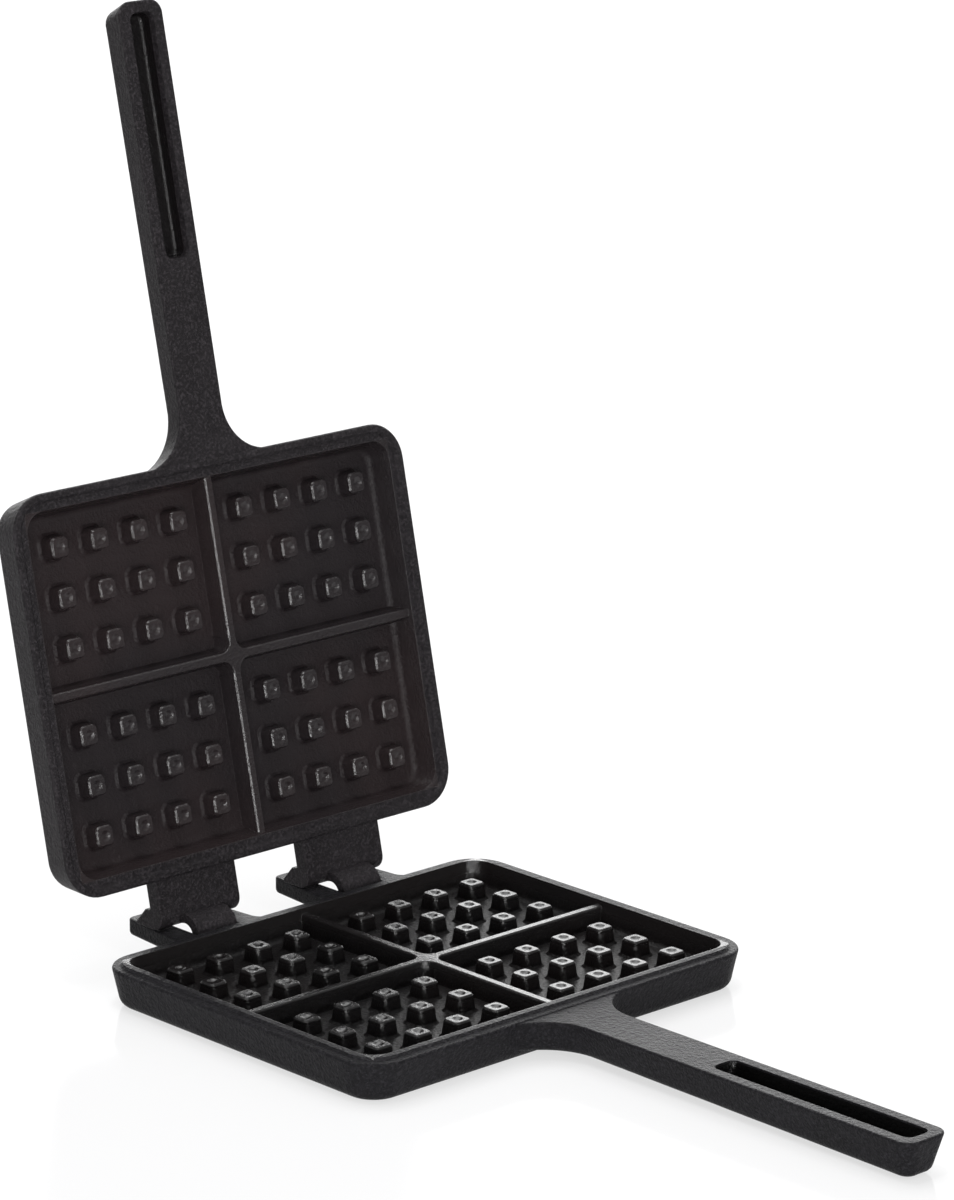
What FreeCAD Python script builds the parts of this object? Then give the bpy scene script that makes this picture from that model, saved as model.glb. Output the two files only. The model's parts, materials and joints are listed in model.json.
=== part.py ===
import FreeCAD, Part
import math
import os
from types import SimpleNamespace

import Sketcher

# Stovetop waffle iron: two cast halves, each one casting with its own handle,
# that hook together at the back and swing about the hook line.
#
# Frame: +Z up, -Y to the handles, X along the hinge line. The origin is the
# middle of the flat underside of the lower plate, which stands on z = 0.
# Each half is drawn with its cavity facing up and its flat back on z = 0. The
# upper half's placement turns it over and swings it open about the hinge line.

V = FreeCAD.Vector
doc = FreeCAD.newDocument("WaffleIron")

# ------------------------------------------------------------- driving sizes
SIZES = [
    # plate
    ("plate_span", 202.5, "outer length of a plate along the hinge line"),
    ("plate_reach", 159.9, "outer width of a plate, front to back"),
    ("plate_corner", 16.0, "plan radius of the outer corners at the rim"),
    ("plate_depth", 17.5, "flat back of a half to its parting plane"),
    ("wall_draft", 12.4, "draft of the outer wall, degrees"),
    ("back_round", 5.0, "rounding between the wall and the flat back"),
    ("rim_round", 1.1, "rounding of the outer rim edge"),
    # rim joint
    ("ledge_width", 3.3, "flat ledge outside the lip"),
    ("lip_height", 1.1, "height of the lip over the ledge"),
    ("lip_width", 3.9, "lip at its foot on the ledge"),
    ("lip_draft", 45.0, "slope of the lip's outer side, degrees"),
    ("rim_gap", 0.2, "clearance between the closed rims"),
    # cavity
    ("cavity_depth", 9.75, "parting plane to the cavity floor"),
    ("cavity_draft", 19.2, "draft of the cavity wall, degrees"),
    ("cavity_round", 3.0, "rounding between the cavity wall and its floor"),
    ("rib_drop", 2.0, "rib crest below the parting plane"),
    ("rib_crest", 2.6, "width of a rib at its crest"),
    ("rib_edge", 0.6, "bevel along a rib's crest"),
    ("rib_draft", 13.1, "draft of a rib's sides, degrees"),
    ("crossing_round", 5.0, "plan radius between the ribs where they cross"),
    ("crossing_lap", 0.1, "how far the crossing sinks into the ribs"),
    # studs
    ("stud_pitch", 20.0, "distance between neighbouring studs"),
    ("stud_columns", 4, "studs of a quarter along X"),
    ("stud_rows", 3, "studs of a quarter along Y"),
    ("quarter_x", 47.15, "middle of a quarter's studs along X"),
    ("quarter_y", 37.25, "middle of a quarter's studs along Y"),
    ("stud_drop", 2.75, "stud crest below the parting plane"),
    ("stud_crest", 7.0, "flat crest of a stud"),
    ("stud_corner", 1.3, "plan radius of the crest's corners"),
    ("stud_edge", 0.7, "bevel round the crest"),
    ("stud_shoulder", 8.3, "stud under the crest bevel"),
    ("stud_waist", 10.0, "stud over its foot"),
    ("stud_foot", 12.0, "stud at the floor"),
    ("foot_height", 1.0, "height of a stud's flared foot"),
    ("dimple_radius", 3.6, "radius of the hollow in a stud's crest"),
    ("dimple_depth", 0.75, "depth of the hollow in a stud's crest"),
    # handle
    ("handle_reach", 262.6, "middle of the plate to the handle's end"),
    ("handle_width", 22.4, "handle at its parting face"),
    ("handle_draft", 12.4, "draft of the handle's sides, degrees"),
    ("handle_depth", 12.9, "parting face to the handle's back, at the plate"),
    ("handle_tilt", 0.745, "slope of the handle's back, degrees"),
    ("handle_root", 21.0, "plan radius where the handle meets the plate"),
    ("handle_corner", 6.0, "rounding of the handle's end corners"),
    ("handle_round", 4.0, "rounding along the handle's back"),
    ("edge_round", 0.8, "small rounding of cast edges"),
    ("face_set", 0.55, "handle and hinge faces behind the rim"),
    ("slot_near", 160.0, "middle of the plate to the near end of the recess"),
    ("slot_margin", 4.8, "far end of the recess to the handle's end"),
    ("slot_width", 12.0, "handle recess at its mouth"),
    ("slot_depth", 7.0, "depth of the handle recess"),
    ("slot_draft", 9.7, "draft of the recess walls, degrees"),
    ("slot_corner", 3.6, "plan radius of the recess corners"),
    ("slot_round", 1.5, "rounding at the recess floor"),
    ("root_sink", 2.9, "how far handle and hinge roots reach into the wall"),
    ("root_lap", 0.5, "how far a root's curve runs into the wall"),
    # hinge
    ("hinge_spacing", 76.8, "distance between the two hinges"),
    ("hinge_clear", 14.45, "back rim of a plate to the hinge line"),
    ("hinge_rise", 3.7, "hinge line over the parting plane"),
    ("open_angle", 102.5, "swing from closed to the open stop, degrees"),
    ("stop_gap", 0.15, "clearance between heel and bracket at the stop"),
    ("bracket_width", 35.8, "bracket at its back end"),
    ("bracket_root", 41.6, "bracket at its root"),
    ("root_round", 5.0, "plan radius where a bracket meets the plate"),
    ("bracket_height", 7.1, "height of the bracket's arms"),
    ("bracket_corner", 3.0, "plan radius of the bracket's back corners"),
    ("bracket_round", 2.0, "rounding under the bracket"),
    ("gate_width", 22.0, "opening between the arms"),
    ("gate_ahead", 9.6, "hinge line to the crossbar"),
    ("crossbar_width", 11.0, "crossbar, front to back"),
    ("crossbar_thick", 3.25, "thickness of the crossbar"),
    ("tongue_width", 41.2, "width of the hinge tongue"),
    ("tongue_thick", 6.6, "thickness of the hinge tongue"),
    ("tongue_round", 1.0, "rounding of the tongue's side edges"),
    ("heel_round", 5.5, "rounding the tongue rolls on"),
    ("heel_height", 16.35, "tongue face to the heel's crest"),
    ("heel_crest", 1.5, "flat of the heel's crest"),
    ("heel_base", 9.9, "tongue face to the foot of the heel's slope"),
    ("heel_ahead", 3.6, "front of the heel to the hinge line"),
    ("hook_gap", 1.0, "clearance on each side of the hook"),
    ("curl_gap", 0.85, "middle of the hook's bend to the crossbar"),
    ("curl_drop", 0.5, "curl centre below the parting plane"),
    ("curl_inner", 4.7, "inner radius of the hook"),
    ("curl_outer", 8.4, "outer radius of the hook"),
    ("tip_reach", 2.5, "how far the hook reaches under the crossbar"),
    ("tip_round", 2.5, "rounding under the hook's tip"),
]

sheet = doc.addObject("Spreadsheet::Sheet", "Sheet")
for row, (alias, value, note) in enumerate(SIZES, start=1):
    sheet.set("A%d" % row, alias)
    sheet.set("B%d" % row, str(value))
    sheet.set("C%d" % row, note)
    sheet.setAlias("B%d" % row, alias)
doc.recompute()


class Size:
    """A number together with the sheet expression that it comes from."""

    def __init__(self, value, text):
        self.value = value
        self.text = text

    def joined(self, sign, other, value):
        return Size(value, "(%s %s %s)" % (self.text, sign, other.text))

    def __add__(self, other):
        other = size(other)
        return self.joined("+", other, self.value + other.value)

    def __sub__(self, other):
        other = size(other)
        return self.joined("-", other, self.value - other.value)

    def __rsub__(self, other):
        return size(other) - self

    def __mul__(self, other):
        other = size(other)
        return self.joined("*", other, self.value * other.value)

    def __truediv__(self, other):
        other = size(other)
        return self.joined("/", other, self.value / other.value)

    def __neg__(self):
        return Size(-self.value, "(-1 * %s)" % self.text)

    __radd__ = __add__
    __rmul__ = __mul__


def size(number):
    return number if isinstance(number, Size) else Size(number, repr(number))


def sine(angle):
    return Size(math.sin(math.radians(angle.value)), "sin(%s)" % angle.text)


def cosine(angle):
    return Size(math.cos(math.radians(angle.value)), "cos(%s)" % angle.text)


def tangent(angle):
    return Size(math.tan(math.radians(angle.value)), "tan(%s)" % angle.text)


d = SimpleNamespace(**{
    alias: Size(float(getattr(sheet, alias)), "Sheet." + alias)
    for alias, _, _ in SIZES})

# Heights in a half's own frame, cavity up: the lower lip ends at the parting
# plane, and the upper rim comes down past it to the lower ledge.
lower_rim = d.plate_depth - d.lip_height
upper_rim = d.plate_depth + d.lip_height - d.rim_gap
lower_mouth = d.plate_depth
upper_mouth = d.plate_depth - d.rim_gap
lower_face = lower_rim - d.face_set
upper_face = upper_rim - d.face_set
floor = d.plate_depth - d.cavity_depth
rib_top = d.plate_depth - d.rib_drop
slot_far = d.handle_reach - d.slot_margin
hinge_back = d.plate_reach / 2 + d.hinge_clear
gate_back = hinge_back + d.gate_ahead
bracket_reach = gate_back + d.crossbar_width
heel_front = hinge_back - d.heel_ahead
curl_back = gate_back - d.curl_gap
hook_tip = gate_back + d.tip_reach


# ------------------------------------------------------------------- helpers
def origin_item(body, role):
    return next(f for f in body.Origin.OriginFeatures if f.Role == role)


def bind(obj, path, length):
    obj.setExpression(path, length.text)


def new_sketch(body, name, role, height=0, x=0, y=0):
    """A sketch on an origin plane of its own body, moved by a height along
    the plane's normal and by x and y within it."""
    sketch = body.newObject("Sketcher::SketchObject", name)
    sketch.AttachmentSupport = [(origin_item(body, role), "")]
    sketch.MapMode = "FlatFace"
    move = [size(x), size(y), size(height)]
    sketch.AttachmentOffset = FreeCAD.Placement(
        V(*[m.value for m in move]), FreeCAD.Rotation())
    for axis, m in zip("xyz", move):
        bind(sketch, "AttachmentOffset.Base." + axis, m)
    return sketch


def dimension(sketch, kind, items, name, length):
    index = sketch.addConstraint(
        Sketcher.Constraint(kind, *items, length.value))
    sketch.renameConstraint(index, name)
    bind(sketch, "Constraints." + name, length)


def rounded_rectangle(sketch, half_x, half_y, radius):
    """Rounded rectangle about the sketch's origin."""
    a, b, r = half_x.value, half_y.value, radius.value
    quarter = math.pi / 2

    def line(x0, y0, x1, y1):
        sketch.addGeometry(Part.LineSegment(V(x0, y0, 0), V(x1, y1, 0)), False)

    def arc(x, y, start):
        circle = Part.Circle(V(x, y, 0), V(0, 0, 1), r)
        sketch.addGeometry(
            Part.ArcOfCircle(circle, start, start + quarter), False)

    line(r - a, -b, a - r, -b)
    arc(a - r, r - b, -quarter)
    line(a, r - b, a, b - r)
    arc(a - r, b - r, 0)
    line(a - r, b, r - a, b)
    arc(r - a, b - r, quarter)
    line(-a, b - r, -a, r - b)
    arc(r - a, r - b, 2 * quarter)
    for i in range(8):
        sketch.addConstraint(
            Sketcher.Constraint("Tangent", i, 2, (i + 1) % 8, 1))
    for i in (3, 5, 7):
        sketch.addConstraint(Sketcher.Constraint("Equal", 1, i))
    for i in (0, 4):
        sketch.addConstraint(Sketcher.Constraint("Horizontal", i))
    for i in (2, 6):
        sketch.addConstraint(Sketcher.Constraint("Vertical", i))
    sketch.addConstraint(Sketcher.Constraint("Symmetric", 1, 3, 5, 3, -1, 1))
    dimension(sketch, "Radius", (1,), "corner", radius)
    dimension(sketch, "DistanceX", (-1, 1, 2, 1), "half_x", half_x)
    dimension(sketch, "DistanceY", (-1, 1, 4, 1), "half_y", half_y)


def outline(sketch, points, arcs=None):
    """Closed outline through points, pairs of sizes. arcs gives, for the
    point that an edge starts from, (centre, radius, counterclockwise)."""
    arcs = arcs or {}
    spots = [V(size(x).value, size(y).value, 0) for x, y in points]
    count = len(points)
    ends = []
    for i in range(count):
        start, stop = spots[i], spots[(i + 1) % count]
        if i not in arcs:
            sketch.addGeometry(Part.LineSegment(start, stop), False)
            ends.append((1, 2))
            continue
        (cx, cy), radius, counterclockwise = arcs[i]
        centre = V(cx.value, cy.value, 0)
        first, last = start - centre, stop - centre
        if not counterclockwise:
            first, last = last, first
        a0 = math.atan2(first.y, first.x)
        a1 = math.atan2(last.y, last.x)
        if a1 < a0:
            a1 += 2 * math.pi
        circle = Part.Circle(centre, V(0, 0, 1), radius.value)
        sketch.addGeometry(Part.ArcOfCircle(circle, a0, a1), False)
        ends.append((1, 2) if counterclockwise else (2, 1))
    for i in range(count):
        j = (i + 1) % count
        sketch.addConstraint(Sketcher.Constraint(
            "Coincident", i, ends[i][1], j, ends[j][0]))
    for i, (x, y) in enumerate(points):
        for kind, axis, length in (("DistanceX", "x", size(x)),
                                   ("DistanceY", "y", size(y))):
            dimension(sketch, kind, (-1, 1, i, ends[i][0]),
                      "%s%d" % (axis, i), length)
    for i, (_, radius, _) in arcs.items():
        dimension(sketch, "Radius", (i,), "radius%d" % i, radius)


def mirrored(points):
    """Points to the right of the Y axis, then their mirror images."""
    return points + [(-x, y) for x, y in reversed(points)]


def extrude(body, kind, name, sketch, length, midplane=False, reverse=False,
            draft=None):
    feature = body.newObject("PartDesign::" + kind, name)
    feature.Profile = sketch
    feature.SideType = "Symmetric" if midplane else "One side"
    feature.Reversed = reverse
    feature.Length = length.value
    bind(feature, "Length", length)
    if draft:
        feature.TaperAngle = -draft.value
        bind(feature, "TaperAngle", -draft)
    feature.Refine = False
    return feature


def fillet(body, name, radius, keep):
    """Round the edges of the body's tip whose bounds keep() picks."""
    doc.recompute()
    base = body.Tip
    names = ["Edge%d" % i for i, edge in enumerate(base.Shape.Edges, start=1)
             if keep(edge.BoundBox)]
    if not names:
        raise RuntimeError("no edge found for " + name)
    feature = body.newObject("PartDesign::Fillet", name)
    feature.Base = (base, names)
    feature.Radius = radius.value
    bind(feature, "Radius", radius)


def level(box, height):
    """True for an edge that lies flat at a height."""
    return box.ZLength < 0.01 and abs(box.ZMin - height.value) < 0.01


def mirror_whole(body, name):
    """The body's other half across the middle plane."""
    doc.recompute()
    feature = body.newObject("PartDesign::Mirrored", name)
    feature.TransformMode = "Whole shape"
    feature.MirrorPlane = (origin_item(body, "YZ_Plane"), [""])
    feature.Refine = False
    body.Tip = feature


# ------------------------------------------------------------------- studs
def make_studs():
    """All studs of one half, shared by both: first the stud at the inner
    corner of a quarter, then the rows, the columns and the other quarters."""
    body = doc.addObject("PartDesign::Body", "stud_grid")
    x = d.quarter_x - (d.stud_columns - 1) * d.stud_pitch / 2
    y = d.quarter_y - (d.stud_rows - 1) * d.stud_pitch / 2
    crest = d.plate_depth - d.stud_drop
    sections = []
    for name, height, width in (
            ("Foot", floor, d.stud_foot),
            ("Waist", floor + d.foot_height, d.stud_waist),
            ("Shoulder", crest - d.stud_edge, d.stud_shoulder),
            ("Crest", crest, d.stud_crest)):
        sketch = new_sketch(body, name, "XY_Plane", height, x, y)
        rounded_rectangle(sketch, width / 2, width / 2,
                          d.stud_corner + (width - d.stud_crest) / 2)
        sections.append(sketch)
    stud = body.newObject("PartDesign::AdditiveLoft", "Stud")
    stud.Profile = sections[0]
    stud.Sections = sections[1:]
    stud.Ruled = True
    doc.recompute()

    dimple = body.newObject("PartDesign::SubtractiveSphere", "Dimple")
    dimple.Radius = d.dimple_radius.value
    bind(dimple, "Radius", d.dimple_radius)
    dimple.AttachmentSupport = [(origin_item(body, "XY_Plane"), "")]
    dimple.MapMode = "FlatFace"
    for axis, place in (("x", x), ("y", y),
                        ("z", crest + d.dimple_radius - d.dimple_depth)):
        bind(dimple, "AttachmentOffset.Base." + axis, place)
    doc.recompute()

    grid = body.newObject("PartDesign::MultiTransform", "Grid")
    grid.TransformMode = "Whole shape"
    grid.Refine = False
    steps = []
    for name, role, number in (("Columns", "X_Axis", d.stud_columns),
                               ("Rows", "Y_Axis", d.stud_rows)):
        step = body.newObject("PartDesign::LinearPattern", name)
        step.Direction = (origin_item(body, role), [""])
        step.Occurrences = int(number.value)
        bind(step, "Occurrences", number)
        length = (number - 1) * d.stud_pitch
        step.Length = length.value
        bind(step, "Length", length)
        steps.append(step)
    for name, role in (("Across", "YZ_Plane"), ("Along", "XZ_Plane")):
        step = body.newObject("PartDesign::Mirrored", name)
        step.MirrorPlane = (origin_item(body, role), [""])
        steps.append(step)
    grid.Transformations = steps
    body.Tip = grid
    return body


# ------------------------------------------------------------------- plate
def plate_outline(body, name, height, inset):
    """The plate's outline at a height, drawn in by an inset."""
    sketch = new_sketch(body, name, "XY_Plane", height)
    rounded_rectangle(sketch, d.plate_span / 2 - inset,
                      d.plate_reach / 2 - inset, d.plate_corner - inset)
    return sketch


def make_plate(name, rim, mouth, upper):
    """Shallow tray with its rim joint and the crossing ribs."""
    body = doc.addObject("PartDesign::Body", name)
    sketch = plate_outline(body, "RimOutline", rim, size(0))
    extrude(body, "Pad", "Block", sketch, rim, reverse=True,
            draft=d.wall_draft)
    fillet(body, "BackRound", d.back_round, lambda box: level(box, size(0)))
    fillet(body, "RimRound", d.rim_round, lambda box: level(box, rim))

    if upper:
        sketch = plate_outline(body, "RecessOutline", rim,
                               d.ledge_width - d.rim_gap)
        extrude(body, "Pocket", "LipRecess", sketch, d.lip_height,
                draft=d.lip_draft)
    else:
        sketch = plate_outline(body, "LipOutline", rim, d.ledge_width)
        extrude(body, "Pad", "Lip", sketch, d.lip_height, draft=d.lip_draft)

    sketch = plate_outline(body, "CavityOutline", mouth,
                           d.ledge_width + d.lip_width)
    extrude(body, "Pocket", "Cavity", sketch, mouth - floor,
            draft=d.cavity_draft)
    fillet(body, "CavityRound", d.cavity_round,
           lambda box: level(box, floor))

    bevel = d.rib_crest / 2 + d.rib_edge
    foot = bevel + (rib_top - floor) * tangent(d.rib_draft)
    section = mirrored([
        (foot, floor - d.rib_edge),
        (bevel, rib_top - d.rib_edge),
        (d.rib_crest / 2, rib_top)])
    for label, role, length in (("LongRib", "YZ_Plane", d.plate_span),
                                ("ShortRib", "XZ_Plane", d.plate_reach)):
        sketch = new_sketch(body, label + "Section", role)
        outline(sketch, section)
        extrude(body, "Pad", label, sketch,
                length - 2 * (d.ledge_width + d.lip_width), midplane=True)
    return body


def make_crossing():
    """Rounds the four corners where the ribs cross."""
    body = doc.addObject("PartDesign::Body", "rib_crossing")
    side = (d.rib_crest / 2 + d.rib_edge
            - d.rib_edge * tangent(d.rib_draft) - d.crossing_lap)
    tip = side + d.crossing_round
    sketch = new_sketch(body, "CrossingPlan", "XY_Plane", rib_top)
    outline(sketch,
            [(tip, -side), (tip, side), (side, tip), (-side, tip),
             (-tip, side), (-tip, -side), (-side, -tip), (side, -tip)],
            {1: ((tip, tip), d.crossing_round, False),
             3: ((-tip, tip), d.crossing_round, False),
             5: ((-tip, -tip), d.crossing_round, False),
             7: ((tip, -tip), d.crossing_round, False)})
    extrude(body, "Pad", "Crossing", sketch, rib_top - floor + d.rib_edge,
            reverse=True, draft=-d.rib_draft)
    fillet(body, "CrossingEdge", d.rib_edge,
           lambda box: level(box, rib_top)
           and min(box.XLength, box.YLength) > d.rib_edge.value)
    return body


# ------------------------------------------------------------------- handle
def make_handle(name, face):
    """Drafted bar with a blind recess in its parting face. Its root flares
    into the plate's front wall."""
    body = doc.addObject("PartDesign::Body", name)
    side = d.handle_width / 2
    front = d.plate_reach / 2
    root = side + d.handle_root
    inside = front - d.handle_root
    lap = front - d.root_lap
    bend = lap + d.handle_root
    sketch = new_sketch(body, "Plan", "XY_Plane", face)
    outline(sketch,
            [(root, -inside), (-root, -inside), (-root, -lap),
             (-side, -bend), (-side, -d.handle_reach),
             (side, -d.handle_reach), (side, -bend), (root, -lap)],
            {2: ((-root, -bend), d.handle_root, False),
             6: ((root, -bend), d.handle_root, False)})
    spare = 1
    end_depth = d.handle_depth + (d.handle_reach - front) * tangent(
        d.handle_tilt)
    extrude(body, "Pad", "Bar", sketch, end_depth + spare, reverse=True,
            draft=d.handle_draft)

    # one cut makes the sloping back and the end inside the plate's wall
    past = d.handle_reach + d.handle_corner
    sink = front - d.root_sink

    def back_height(y):
        return face - d.handle_depth - (y - front) * tangent(d.handle_tilt)

    below = face - end_depth - d.handle_depth
    above = face + d.handle_round
    sketch = new_sketch(body, "BackProfile", "YZ_Plane")
    outline(sketch,
            [(-past, below), (-past, back_height(past)),
             (-sink, back_height(sink)), (-sink, above),
             (-inside + d.handle_round, above),
             (-inside + d.handle_round, below)])
    extrude(body, "Pocket", "Back", sketch, 2 * root + d.handle_width,
            midplane=True)

    near_end = -(d.handle_reach - d.handle_width / 2).value
    half_height = (face - d.handle_depth / 2).value
    fillet(body, "EndCorners", d.handle_corner,
           lambda box: box.YMax < near_end and box.ZLength > 5)
    fillet(body, "BackRound", d.handle_round,
           lambda box: box.ZMax < half_height
           and not (box.YLength < 0.01 and box.YMin > near_end))
    fillet(body, "FaceEdge", d.edge_round,
           lambda box: level(box, face) and box.YMin < -front.value - 0.01)

    sketch = new_sketch(body, "SlotOutline", "XY_Plane", face,
                        y=-(d.slot_near + slot_far) / 2)
    rounded_rectangle(sketch, d.slot_width / 2,
                      (slot_far - d.slot_near) / 2, d.slot_corner)
    extrude(body, "Pocket", "Slot", sketch, d.slot_depth,
            draft=d.slot_draft)
    fillet(body, "SlotFloor", d.slot_round,
           lambda box: level(box, face - d.slot_depth))
    return body


# ------------------------------------------------------------------- hinge
def make_brackets():
    """The lower half's two forked brackets, each with a crossbar."""
    body = doc.addObject("PartDesign::Body", "lower_brackets")
    middle = d.hinge_spacing / 2
    wall = d.plate_reach / 2
    side = d.bracket_width / 2
    root = d.bracket_root / 2
    lap = wall - d.root_lap
    bend = lap + d.root_round
    edge = root + d.root_round
    sink = wall - d.root_sink
    sketch = new_sketch(body, "Plan", "XY_Plane", lower_face, x=middle)
    outline(sketch,
            [(edge, sink), (edge, lap), (root, bend),
             (side, bracket_reach), (-side, bracket_reach),
             (-root, bend), (-edge, lap), (-edge, sink)],
            {1: ((edge, bend), d.root_round, False),
             5: ((-edge, bend), d.root_round, False)})
    extrude(body, "Pad", "Bracket", sketch, d.bracket_height, reverse=True)
    back = bracket_reach.value
    fillet(body, "BackCorners", d.bracket_corner,
           lambda box: box.ZLength > 1 and box.YMin > back - 0.01)
    fillet(body, "UnderRound", d.bracket_round,
           lambda box: level(box, lower_face - d.bracket_height)
           and box.YMax > wall.value)
    fillet(body, "TopEdge", d.edge_round,
           lambda box: level(box, lower_face) and box.YMax > wall.value)

    gate = d.gate_width / 2
    sketch = new_sketch(body, "Gate", "XY_Plane", lower_face, x=middle)
    outline(sketch, [(gate, sink - d.root_round), (gate, gate_back),
                     (-gate, gate_back), (-gate, sink - d.root_round)])
    extrude(body, "Pocket", "GateCut", sketch,
            d.bracket_height + d.root_round)
    sketch = new_sketch(body, "UnderBar", "XY_Plane",
                        lower_face - d.crossbar_thick, x=middle)
    past = bracket_reach + d.root_round
    outline(sketch, [(gate, gate_back - d.crossbar_thick), (gate, past),
                     (-gate, past), (-gate, gate_back - d.crossbar_thick)])
    extrude(body, "Pocket", "UnderBarCut", sketch, d.bracket_height)
    mirror_whole(body, "Pair")
    return body


def stop_plane(depth):
    """Y of the heel's stop face at a depth over the parting plane. Swung
    open, this face lies on the bracket's top."""
    over = depth - d.hinge_rise
    stand = d.hinge_rise + d.lip_height + d.face_set - d.stop_gap
    return hinge_back + (stand + over * cosine(d.open_angle)) / sine(
        d.open_angle)


def make_lugs():
    """The upper half's two tongues, each with a heel that stops the swing
    and a hook that goes through the gate and under the crossbar."""
    body = doc.addObject("PartDesign::Body", "upper_lugs")
    middle = d.hinge_spacing / 2
    sink = d.plate_reach / 2 - d.root_sink
    # depths over the parting plane, as the iron lies closed
    face = d.plate_depth - upper_face
    back = face + d.tongue_thick
    base = face + d.heel_base
    crest = face + d.heel_height

    def own(y, depth):
        return y, d.plate_depth - depth

    # the rounding that the tongue rolls on touches its face and the stop face
    roll = face + d.heel_round
    stand = d.hinge_rise + d.lip_height + d.face_set - d.stop_gap
    roll_y = hinge_back + (
        stand - d.heel_round
        + (roll - d.hinge_rise) * cosine(d.open_angle)) / sine(d.open_angle)
    touch_y = roll_y + d.heel_round * sine(d.open_angle)
    touch = roll - d.heel_round * cosine(d.open_angle)
    crest_y = stop_plane(crest)
    sketch = new_sketch(body, "TongueProfile", "YZ_Plane", middle)
    outline(sketch,
            [own(sink, face), own(roll_y, face), own(touch_y, touch),
             own(crest_y, crest), own(crest_y - d.heel_crest, crest),
             own(heel_front, base), own(heel_front, back),
             own(sink, back)],
            {1: (own(roll_y, roll), d.heel_round, False)})
    extrude(body, "Pad", "Tongue", sketch, d.tongue_width, midplane=True)
    sides = [(middle - d.tongue_width / 2).value,
             (middle + d.tongue_width / 2).value]
    wall = (d.plate_reach / 2).value
    fillet(body, "TongueSides", d.tongue_round,
           lambda box: box.XLength < 0.01 and box.YMax > wall
           and min(abs(box.XMin - s) for s in sides) < 0.01)

    drop = -d.curl_drop
    left = curl_back - d.curl_outer
    right = curl_back - d.curl_inner
    sketch = new_sketch(body, "HookProfile", "YZ_Plane", middle)
    outline(sketch,
            [own(left, roll), own(left, drop),
             own(curl_back, drop - d.curl_outer),
             own(hook_tip, drop - d.curl_outer),
             own(hook_tip, drop - d.curl_inner),
             own(curl_back, drop - d.curl_inner),
             own(right, drop), own(right, roll)],
            {1: (own(curl_back, drop), d.curl_outer, False),
             5: (own(curl_back, drop), d.curl_inner, True)})
    extrude(body, "Pad", "Hook", sketch, d.gate_width - 2 * d.hook_gap,
            midplane=True)
    tip = hook_tip.value
    under = (d.plate_depth - drop + d.curl_outer).value
    over = (d.plate_depth - drop + d.curl_inner).value
    fillet(body, "TipRound", d.tip_round,
           lambda box: box.YMin > tip - 0.01 and box.ZMin > under - 0.01)
    fillet(body, "TipEdge", d.edge_round,
           lambda box: box.YMin > tip - 0.01 and box.ZMax < over + 0.01)
    mirror_whole(body, "Pair")
    return body


# ----------------------------------------------------------------- assembly
def join(name, pieces):
    """One casting out of its pieces."""
    casting = doc.addObject("Part::MultiFuse", name)
    casting.Label = name
    casting.Shapes = pieces
    casting.Refine = False
    return casting


studs = make_studs()
crossing = make_crossing()
lower = join("lower_plate", [
    make_plate("lower_tray", lower_rim, lower_mouth, upper=False),
    make_handle("lower_handle", lower_face),
    make_brackets(), studs, crossing])
upper = join("upper_plate", [
    make_plate("upper_tray", upper_rim, upper_mouth, upper=True),
    make_handle("upper_handle", upper_face),
    make_lugs(), studs, crossing])

turned_over = FreeCAD.Placement(V(0, 0, 2 * d.plate_depth.value),
                                FreeCAD.Rotation(V(0, 1, 0), 180))
swung_open = FreeCAD.Placement(
    V(0, 0, 0), FreeCAD.Rotation(V(1, 0, 0), -d.open_angle.value),
    V(0, hinge_back.value, (d.plate_depth + d.hinge_rise).value))
upper.Placement = swung_open * turned_over
doc.recompute()

# ------------------------------------------------------------ check and write
for item in doc.Objects:
    if "Invalid" in item.State or "Error" in item.State:
        raise RuntimeError("%s failed: %s" % (item.Name, item.State))
for casting in (lower, upper):
    shape = casting.Shape
    if shape.isNull() or not shape.isValid() or len(shape.Solids) != 1:
        raise RuntimeError(casting.Label + " isn't one valid solid")

os.makedirs("parts", exist_ok=True)
for casting in (lower, upper):
    casting.Shape.exportStep("parts/%s.step" % casting.Label)
    print(casting.Label, round(casting.Shape.Volume, 1),
          casting.Shape.BoundBox)
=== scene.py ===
import json
import math

import bpy
from mathutils import Euler, Matrix, Vector

bl_info = {
    "name": "Stovetop Waffle Iron",
    "version": (1, 0, 0),
    "blender": (4, 5, 0),
    "location": "3D View > Sidebar > Waffle Iron",
    "description": "Finishes the two cast halves of a stovetop waffle iron and sets its stage",
    "category": "Object",
}

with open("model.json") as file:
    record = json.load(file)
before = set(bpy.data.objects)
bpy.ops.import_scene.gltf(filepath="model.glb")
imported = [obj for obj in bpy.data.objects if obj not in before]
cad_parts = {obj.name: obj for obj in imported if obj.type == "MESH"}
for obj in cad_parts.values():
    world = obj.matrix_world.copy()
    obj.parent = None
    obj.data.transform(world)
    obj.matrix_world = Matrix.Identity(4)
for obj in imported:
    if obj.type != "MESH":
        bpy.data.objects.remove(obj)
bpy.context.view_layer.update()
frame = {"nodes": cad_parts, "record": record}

MM = 0.001
HINGE = frame["record"]["behaviour"]["joints"][0]
HINGE_POINT = Vector(HINGE["pos_m"])
SWING = math.radians(HINGE["range_deg"][1])

# Places in a half's own frame: cavity up, flat back on z = 0, handle towards
# -y. The slot is the recess along the handle, and the oiled iron is wiped on
# the crests of the studs.
PLATE_DEPTH = 17.5 * MM
CAVITY_HALF = (94.2 * MM, 72.9 * MM)
CAVITY_FROM = 6.5 * MM
SLOT_HALF = 6.2 * MM
SLOT_NEAR = -159.6 * MM
SLOT_FAR = -258.2 * MM
SLOT_LID = 15.3 * MM
SLOT_FLOOR = 6.0 * MM
WIPED_FROM = 9 * MM
WIPED_TO = 14 * MM
BLEND = 0.4 * MM

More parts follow.
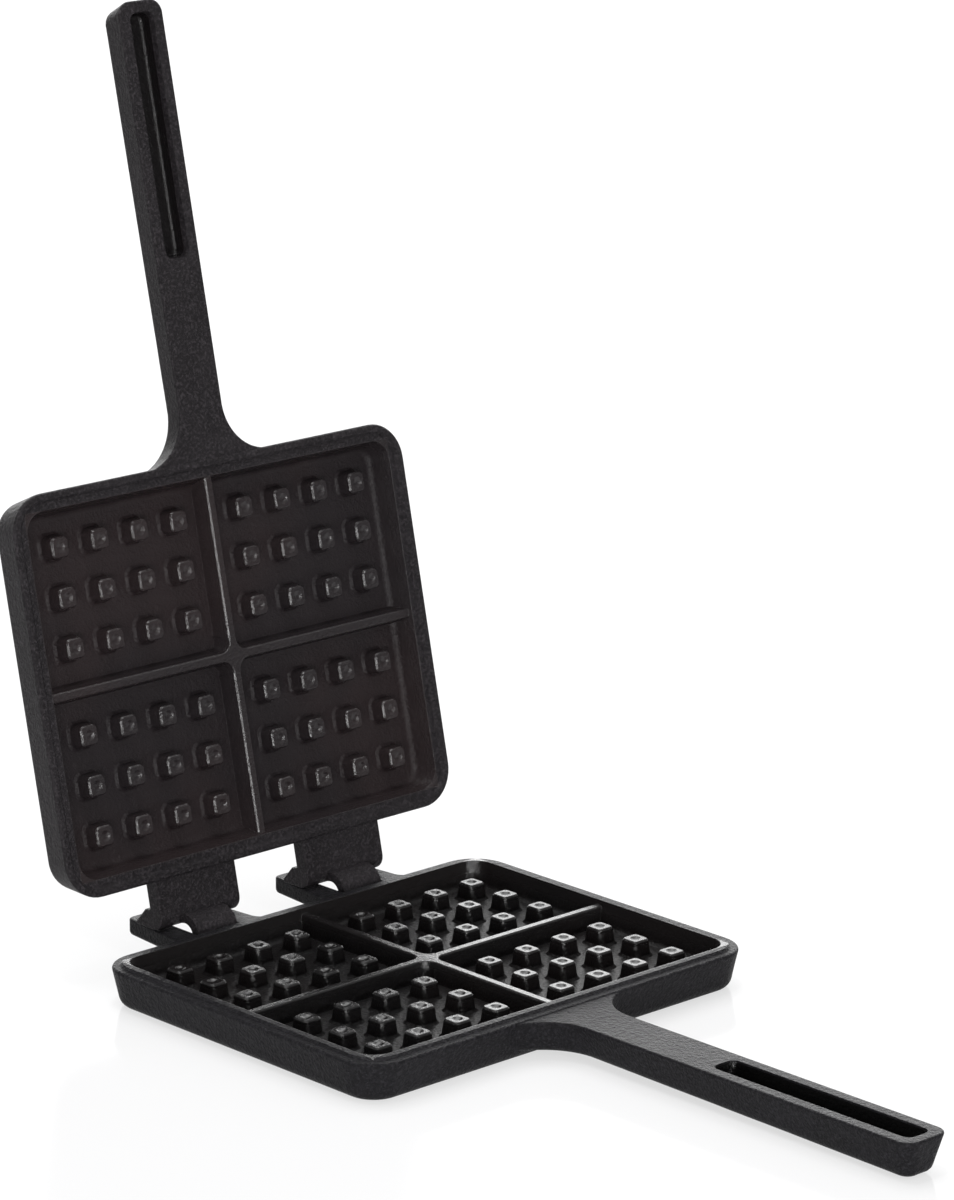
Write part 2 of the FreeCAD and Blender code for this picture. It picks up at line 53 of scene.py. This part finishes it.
# Tones of the iron, as factors of the chosen colours; the slot's tone darkens the handle's recess
# as painted shade.
PATCH_TONE = 1.4
GRAIN_TONE = 2.8
BAKED_TINT = (1.25, 1.12, 1.08)
SLOT_PAINTED_SHADE = 0.3

# How fine the textures are, how deep the pits are beside the grain, and the
# levels of noise between which each tone fades in.
PATCHES_PER_METRE = 34.0
WIPES_PER_METRE = 11.0
PITS_PER_GRAIN = 0.45
PIT_DEPTH = 0.35
PATCH_LEVELS = (0.35, 0.7)
GRAIN_LEVELS = (0.46, 0.68)
WIPE_LEVELS = (0.42, 0.62)

# Changes of roughness, and the bump and mirroring of the oiled iron as a pair
# for its valleys and its wiped crests.
SKIN_SMOOTHER = 0.06
SKIN_ROUGHER = 0.08
VALLEY_ROUGHER = 0.12
PATCHES_ROUGHER = 0.04
OILED_BUMP = (0.5, 0.28)
OILED_SPECULAR = (0.09, 0.32)

# Shading of the cast meshes.
MERGE_WITHIN = 0.002 * MM
CREASE_ANGLE = math.radians(32)
FLAT_FACE_WEIGHT = 80

# The studio: the floor's own glow, the room's light on dull surfaces, and the
# dim room that mirrors find. Each brighter side of that room has a direction,
# the cosines at which its light begins and is full, and a strength.
WHITE = (1.0, 1.0, 1.0)
FLOOR_GLOW_SHARE = 0.82
FLOOR_GLOW = 0.79
ROOM_LIGHT = 1.15
ROOM_MIRRORED = 0.07
ROOM_SIDES = (((0.684, 0.730, 0.0), -0.1, 0.75, 0.32),
              ((0.0, 0.0, 1.0), 0.3, 0.9, 0.76),
              ((0.660, 0.701, 0.270), 0.78, 0.97, 4.6))
LAMP_TARGET = (0, 0.02, 0.08)


# ------------------------------------------------------------------ settings
class WAFFLE_PG_finish(bpy.types.PropertyGroup):
    """Finish of the seasoned iron, with painted light in the upper skin colour and painted shade
    in the lower cavity colour
    """

    lower_skin_color: bpy.props.FloatVectorProperty(
        name="Lower skin colour", description="Seasoned cast skin of the lower half",
        subtype="COLOR", size=3, min=0, max=1, default=(0.0040, 0.0038, 0.0044))
    # Lighter than the lower skin: painted light on the open upper half, with a slightly browner
    # tone of its own.
    upper_skin_and_painted_light_color: bpy.props.FloatVectorProperty(
        name="Upper skin colour", description="Seasoned cast skin of the upper half",
        subtype="COLOR", size=3, min=0, max=1, default=(0.0066, 0.0058, 0.0064))
    skin_roughness: bpy.props.FloatProperty(
        name="Skin roughness", description="Roughness of the sand-cast skin",
        subtype="FACTOR", min=0, max=1, default=0.40)
    skin_specular: bpy.props.FloatProperty(
        name="Skin specular", description="How strongly the dry skin mirrors",
        subtype="FACTOR", min=0, max=1, default=0.06)
    # Oiled iron, darkened further as painted shade in the lower cavity.
    lower_cavity_and_painted_shade_color: bpy.props.FloatVectorProperty(
        name="Lower cavity colour", description="Oiled iron inside the lower cavity",
        subtype="COLOR", size=3, min=0, max=1, default=(0.0024, 0.0021, 0.0022))
    upper_cavity_color: bpy.props.FloatVectorProperty(
        name="Upper cavity colour", description="Baked-on oil inside the upper cavity",
        subtype="COLOR", size=3, min=0, max=1, default=(0.0088, 0.0072, 0.0078))
    cavity_roughness: bpy.props.FloatProperty(
        name="Cavity roughness", description="Roughness of the oiled cavity",
        subtype="FACTOR", min=0, max=1, default=0.24)
    grain_size: bpy.props.FloatProperty(
        name="Grain size", description="Width of one grain of the cast skin",
        subtype="DISTANCE", default=1.1 * MM)
    grain_height: bpy.props.FloatProperty(
        name="Grain height", description="Height of the cast skin's grain",
        subtype="DISTANCE", default=0.9 * MM)
    edge_radius: bpy.props.FloatProperty(
        name="Edge radius", description="Softness of the cast edges in the shading",
        subtype="DISTANCE", default=0.45 * MM)


class WAFFLE_PG_stage(bpy.types.PropertyGroup):
    """Floor, light and camera"""

    camera_place: bpy.props.FloatVectorProperty(
        name="Camera", description="Where the camera stands",
        subtype="TRANSLATION", size=3, default=(-1.26885, -1.38198, 0.67478))
    azimuth: bpy.props.FloatProperty(
        name="Azimuth", description="Compass angle that the camera looks along",
        subtype="ANGLE", default=math.radians(-43.137))
    elevation: bpy.props.FloatProperty(
        name="Elevation", description="How far the camera looks down",
        subtype="ANGLE", default=math.radians(15.356))
    roll: bpy.props.FloatProperty(
        name="Roll", description="Turn of the camera about its line of sight",
        subtype="ANGLE", default=math.radians(0.17))
    lens: bpy.props.FloatProperty(
        name="Lens", description="Focal length for a 36 mm long side",
        subtype="DISTANCE_CAMERA", default=153.04)
    floor_color: bpy.props.FloatVectorProperty(
        name="Floor colour", description="The plain pale floor",
        subtype="COLOR", size=3, min=0, max=1, default=(0.86, 0.86, 0.87))
    floor_size: bpy.props.FloatProperty(
        name="Floor size", description="Edge of the square floor",
        subtype="DISTANCE", default=40.0)


# ----------------------------------------------------------------- materials
class Shader:
    """A node tree with short ways to add and join nodes."""

    def __init__(self, tree):
        self.tree = tree
        self.tree.nodes.clear()

    def add(self, kind, values=None, **settings):
        """New node. Each value is a number or colour, or a socket to join."""
        node = self.tree.nodes.new("ShaderNode" + kind)
        for key, value in settings.items():
            setattr(node, key, value)
        for key, value in (values or {}).items():
            if isinstance(value, bpy.types.NodeSocket):
                self.tree.links.new(value, node.inputs[key])
            else:
                node.inputs[key].default_value = value
        return node

    def math(self, operation, a, b=0.0):
        return self.add("Math", {0: a, 1: b}, operation=operation).outputs[0]

    def mix(self, factor, a, b):
        """Number between a and b."""
        return self.add("Mix", {"Factor": factor, 2: a, 3: b}, data_type="FLOAT").outputs[0]

    def mix_color(self, factor, a, b):
        """Colour between a and b."""
        return self.add("Mix", {"Factor": factor, 6: a, 7: b}, data_type="RGBA").outputs[2]

    def step(self, value, low, high):
        """0 below low, 1 above high and smooth between; high may be lower."""
        return self.add("MapRange", {"Value": value, "From Min": low, "From Max": high},
                        interpolation_type="SMOOTHSTEP").outputs["Result"]

    def above(self, value, limit):
        """1 above the limit and 0 below it, with a soft edge."""
        return self.step(value, limit - BLEND, limit + BLEND)

    def below(self, value, limit):
        """1 below the limit and 0 above it, with a soft edge."""
        return self.step(value, limit + BLEND, limit - BLEND)

    def product(self, first, *others):
        for other in others:
            first = self.math("MULTIPLY", first, other)
        return first


def new_material(name):
    """Empty material, and its node tree to fill."""
    material = bpy.data.materials.new(name)
    material.use_nodes = True
    return material, Shader(material.node_tree)


def rgba(color):
    return (*color, 1.0)


def own_frame(name):
    """Matrix from the rest frame to a half's own frame."""
    if name == "lower_plate":
        return Matrix.Identity(4)
    close = (Matrix.Translation(HINGE_POINT) @ Matrix.Rotation(SWING, 4, "X")
             @ Matrix.Translation(-HINGE_POINT))
    turn_over = (Matrix.Translation((0, 0, 2 * PLATE_DEPTH))
                 @ Matrix.Rotation(math.pi, 4, "Y"))
    return turn_over @ close


def half_zones(shader, own):
    """Where a half is oiled, its handle's recess, and the rise from its
    valleys to its wiped crests."""
    split = shader.add("SeparateXYZ", {0: own}).outputs
    across = shader.math("ABSOLUTE", split["X"])
    along = shader.math("ABSOLUTE", split["Y"])
    cavity = shader.product(shader.below(across, CAVITY_HALF[0]),
                            shader.below(along, CAVITY_HALF[1]),
                            shader.above(split["Z"], CAVITY_FROM))
    slot = shader.product(shader.below(across, SLOT_HALF),
                          shader.above(split["Y"], SLOT_FAR),
                          shader.below(split["Y"], SLOT_NEAR),
                          shader.below(split["Z"], SLOT_LID),
                          shader.above(split["Z"], SLOT_FLOOR))
    wiped = shader.step(split["Z"], WIPED_FROM, WIPED_TO)
    return shader.math("MAXIMUM", cavity, slot), slot, wiped


def iron_material(name, finish, skin_color, cavity_color):
    """Seasoned cast iron for one half: sand-cast skin outside, smoother and
    oilier in the cavity and in the handle's recess."""
    material, shader = new_material("seasoned iron " + name)
    place, turn, _ = own_frame(name).decompose()
    rest = shader.add("TexCoord").outputs["Object"]
    own = shader.add("Mapping", {"Vector": rest, "Location": place,
                                 "Rotation": turn.to_euler()},
                     vector_type="POINT").outputs[0]
    oiled, slot, wiped = half_zones(shader, own)

    grain = shader.add("TexNoise", {"Vector": rest, "Scale": 1 / finish.grain_size,
                                    "Detail": 3.0, "Roughness": 0.62}).outputs["Fac"]
    pits = shader.add("TexVoronoi", {"Vector": rest,
                                     "Scale": PITS_PER_GRAIN / finish.grain_size},
                      feature="F1").outputs["Distance"]
    patches = shader.add("TexNoise", {"Vector": rest, "Scale": PATCHES_PER_METRE,
                                      "Detail": 4.0, "Roughness": 0.55}).outputs["Fac"]
    wipes = shader.add("TexNoise", {"Vector": own, "Scale": WIPES_PER_METRE,
                                    "Detail": 3.0}).outputs["Fac"]

    # colour: patchy skin with paler grains, browner where the oil has baked on, and painted shade
    # in the handle's recess
    # the upper half's skin colour carries painted light
    skin = shader.mix_color(shader.step(patches, *PATCH_LEVELS),
                            rgba(skin_color), rgba(c * PATCH_TONE for c in skin_color))
    skin = shader.mix_color(shader.step(grain, *GRAIN_LEVELS),
                            skin, rgba(c * GRAIN_TONE for c in skin_color))
    baked = [c * tint for c, tint in zip(cavity_color, BAKED_TINT)]
    # the lower half's cavity colour carries painted shade
    inside = shader.mix_color(shader.step(wipes, *WIPE_LEVELS),
                              rgba(cavity_color), rgba(baked))
    # painted shade: the recess along the handle is darkened to a third
    inside = shader.mix_color(slot, inside, rgba(c * SLOT_PAINTED_SHADE for c in cavity_color))
    color = shader.mix_color(oiled, skin, inside)

    # roughness: dry skin, duller valleys and glossy wiped crests
    dry = shader.mix(patches, finish.skin_roughness - SKIN_SMOOTHER,
                     finish.skin_roughness + SKIN_ROUGHER)
    oily = shader.mix(wiped, finish.cavity_roughness + VALLEY_ROUGHER,
                      finish.cavity_roughness)
    oily = shader.math("ADD", oily, shader.math("MULTIPLY", patches, PATCHES_ROUGHER))
    roughness = shader.mix(oiled, dry, oily)

    # bump: grain with shallow pits, weaker inside and weakest on the crests
    height = shader.math("ADD", grain, shader.math("MULTIPLY", pits, PIT_DEPTH))
    strength = shader.mix(oiled, 1.0, shader.mix(wiped, *OILED_BUMP))
    edges = shader.add("Bevel", {"Radius": finish.edge_radius}, samples=4).outputs[0]
    bump = shader.add("Bump", {"Strength": strength, "Distance": finish.grain_height,
                               "Height": height, "Normal": edges}).outputs[0]

    specular = shader.mix(oiled, finish.skin_specular, shader.mix(wiped, *OILED_SPECULAR))
    surface = shader.add("BsdfPrincipled", {
        "Base Color": color, "Roughness": roughness, "Normal": bump, "IOR": 1.5,
        "Specular IOR Level": specular})
    shader.add("OutputMaterial", {"Surface": surface.outputs[0]})
    return material


def floor_material(color):
    """Pale floor: near white to the camera and in mirrors, with the object's
    shadow and a faint mirror of it kept."""
    material, shader = new_material("pale floor")
    path = shader.add("LightPath").outputs
    seen = shader.math("MAXIMUM", path["Is Camera Ray"], path["Is Glossy Ray"])
    seen = shader.math("MAXIMUM", seen, path["Is Transmission Ray"])
    share = shader.math("MULTIPLY", seen, FLOOR_GLOW_SHARE)
    lit = shader.add("BsdfPrincipled", {"Base Color": rgba(color), "Roughness": 0.12,
                                        "Specular IOR Level": 0.3})
    glow = shader.add("Emission", {"Color": rgba(WHITE), "Strength": FLOOR_GLOW})
    both = shader.add("MixShader", {0: share, 1: lit.outputs[0], 2: glow.outputs[0]})
    shader.add("OutputMaterial", {"Surface": both.outputs[0]})
    return material


# --------------------------------------------------------------------- halves
def finish_half(name, settings, skin_color, cavity_color):
    """Gives a cast half its iron and clean shading."""
    half = frame["nodes"][name]
    half.data.materials.clear()
    half.data.materials.append(iron_material(name, settings, skin_color, cavity_color))
    weld = half.modifiers.new("Join triangles", "WELD")
    weld.merge_threshold = MERGE_WITHIN
    split = half.modifiers.new("Keep creases", "EDGE_SPLIT")
    split.split_angle = CREASE_ANGLE
    split.use_edge_sharp = False
    weigh = half.modifiers.new("Flat faces flat", "WEIGHTED_NORMAL")
    weigh.mode = "FACE_AREA"
    weigh.weight = FLAT_FACE_WEIGHT
    weigh.keep_sharp = True


class WAFFLE_OT_lower_half(bpy.types.Operator):
    """Finish the lower half: tray, studs, handle and brackets"""

    bl_idname = "waffle.lower_half"
    bl_label = "Lower half"

    def execute(self, context):
        settings = context.scene.waffle_finish
        finish_half("lower_plate", settings, settings.lower_skin_color,
                    settings.lower_cavity_and_painted_shade_color)
        return {"FINISHED"}


class WAFFLE_OT_upper_half(bpy.types.Operator):
    """Finish the upper half: tray, studs, handle, heels and hooks"""

    bl_idname = "waffle.upper_half"
    bl_label = "Upper half"

    def execute(self, context):
        settings = context.scene.waffle_finish
        finish_half("upper_plate", settings, settings.upper_skin_and_painted_light_color,
                    settings.upper_cavity_color)
        return {"FINISHED"}


# ---------------------------------------------------------------------- stage
def add_floor(settings):
    half = settings.floor_size / 2
    mesh = bpy.data.meshes.new("floor")
    mesh.from_pydata([(-half, -half, 0), (half, -half, 0), (half, half, 0), (-half, half, 0)],
                     [], [(0, 1, 2, 3)])
    mesh.materials.append(floor_material(settings.floor_color))
    floor = bpy.data.objects.new("floor", mesh)
    bpy.context.collection.objects.link(floor)


def add_lamp(name, place, size, power):
    """Soft rectangular lamp, turned towards the object."""
    data = bpy.data.lights.new(name, "AREA")
    data.shape = "RECTANGLE"
    data.size, data.size_y = size
    data.energy = power
    lamp = bpy.data.objects.new(name, data)
    lamp.location = place
    lamp.rotation_euler = (Vector(LAMP_TARGET) - Vector(place)).to_track_quat("-Z", "Y").to_euler()
    bpy.context.collection.objects.link(lamp)


def set_world():
    """White to the camera. Mirrors find a dim room that is brighter overhead
    and behind the object, and brightest low behind it."""
    world = bpy.data.worlds.new("studio")
    world.use_nodes = True
    bpy.context.scene.world = world
    shader = Shader(world.node_tree)
    path = shader.add("LightPath").outputs
    direction = shader.add("TexCoord").outputs["Generated"]
    mirrored = ROOM_MIRRORED
    for towards, low, high, strength in ROOM_SIDES:
        cosine = shader.add("VectorMath", {0: direction, 1: towards},
                            operation="DOT_PRODUCT").outputs["Value"]
        side = shader.math("MULTIPLY", shader.step(cosine, low, high), strength)
        mirrored = shader.math("ADD", side, mirrored)
    light = shader.mix(path["Is Glossy Ray"], ROOM_LIGHT, mirrored)
    seen = shader.mix(path["Is Camera Ray"], light, 1.0)
    back = shader.add("Background", {"Color": rgba(WHITE), "Strength": seen})
    shader.add("OutputWorld", {"Surface": back.outputs[0]})


def add_camera(settings):
    data = bpy.data.cameras.new("camera")
    data.sensor_fit = "VERTICAL"
    data.sensor_height = 36.0
    data.lens = settings.lens
    data.clip_end = 100.0
    camera = bpy.data.objects.new("camera", data)
    camera.location = settings.camera_place
    camera.rotation_euler = (
        Euler((math.pi / 2 - settings.elevation, 0, settings.azimuth)).to_matrix()
        @ Matrix.Rotation(settings.roll, 3, "Z")).to_euler()
    bpy.context.collection.objects.link(camera)
    bpy.context.scene.camera = camera


class WAFFLE_OT_stage(bpy.types.Operator):
    """Set the floor, the studio light and the camera"""

    bl_idname = "waffle.stage"
    bl_label = "Stage"

    def execute(self, context):
        settings = context.scene.waffle_stage
        add_floor(settings)
        set_world()
        add_lamp("overhead softbox", place=(0.1, 0.5, 1.9), size=(1.6, 1.2), power=39)
        add_lamp("front softbox", place=(-1.5, -1.65, 0.2), size=(0.9, 0.5), power=60)
        add_lamp("front lamp", place=(-0.3, -2.2, 1.0), size=(0.1, 0.1), power=20)
        add_lamp("overhead lamp", place=(-0.3, -0.2, 2.0), size=(0.12, 0.12), power=10)
        add_camera(settings)
        context.scene.view_settings.view_transform = "Standard"
        return {"FINISHED"}


# ---------------------------------------------------------------------- panel
class WAFFLE_PT_panel(bpy.types.Panel):
    """Everything that this add-on makes"""

    bl_label = "Waffle Iron"
    bl_idname = "WAFFLE_PT_panel"
    bl_space_type = "VIEW_3D"
    bl_region_type = "UI"
    bl_category = "Waffle Iron"

    def draw(self, context):
        column = self.layout.column()
        for group in (context.scene.waffle_finish, context.scene.waffle_stage):
            for key in group.__annotations__:
                column.prop(group, key)
        for operator in OPERATORS:
            column.operator(operator.bl_idname)


OPERATORS = (WAFFLE_OT_stage, WAFFLE_OT_lower_half, WAFFLE_OT_upper_half)
CLASSES = (WAFFLE_PG_finish, WAFFLE_PG_stage, *OPERATORS, WAFFLE_PT_panel)


def register():
    for cls in CLASSES:
        bpy.utils.register_class(cls)
    bpy.types.Scene.waffle_finish = bpy.props.PointerProperty(type=WAFFLE_PG_finish)
    bpy.types.Scene.waffle_stage = bpy.props.PointerProperty(type=WAFFLE_PG_stage)


def unregister():
    del bpy.types.Scene.waffle_stage
    del bpy.types.Scene.waffle_finish
    for cls in reversed(CLASSES):
        bpy.utils.unregister_class(cls)


def main():
    register()
    bpy.ops.waffle.stage()
    bpy.ops.waffle.lower_half()
    bpy.ops.waffle.upper_half()


if __name__ == "__main__":
    main()
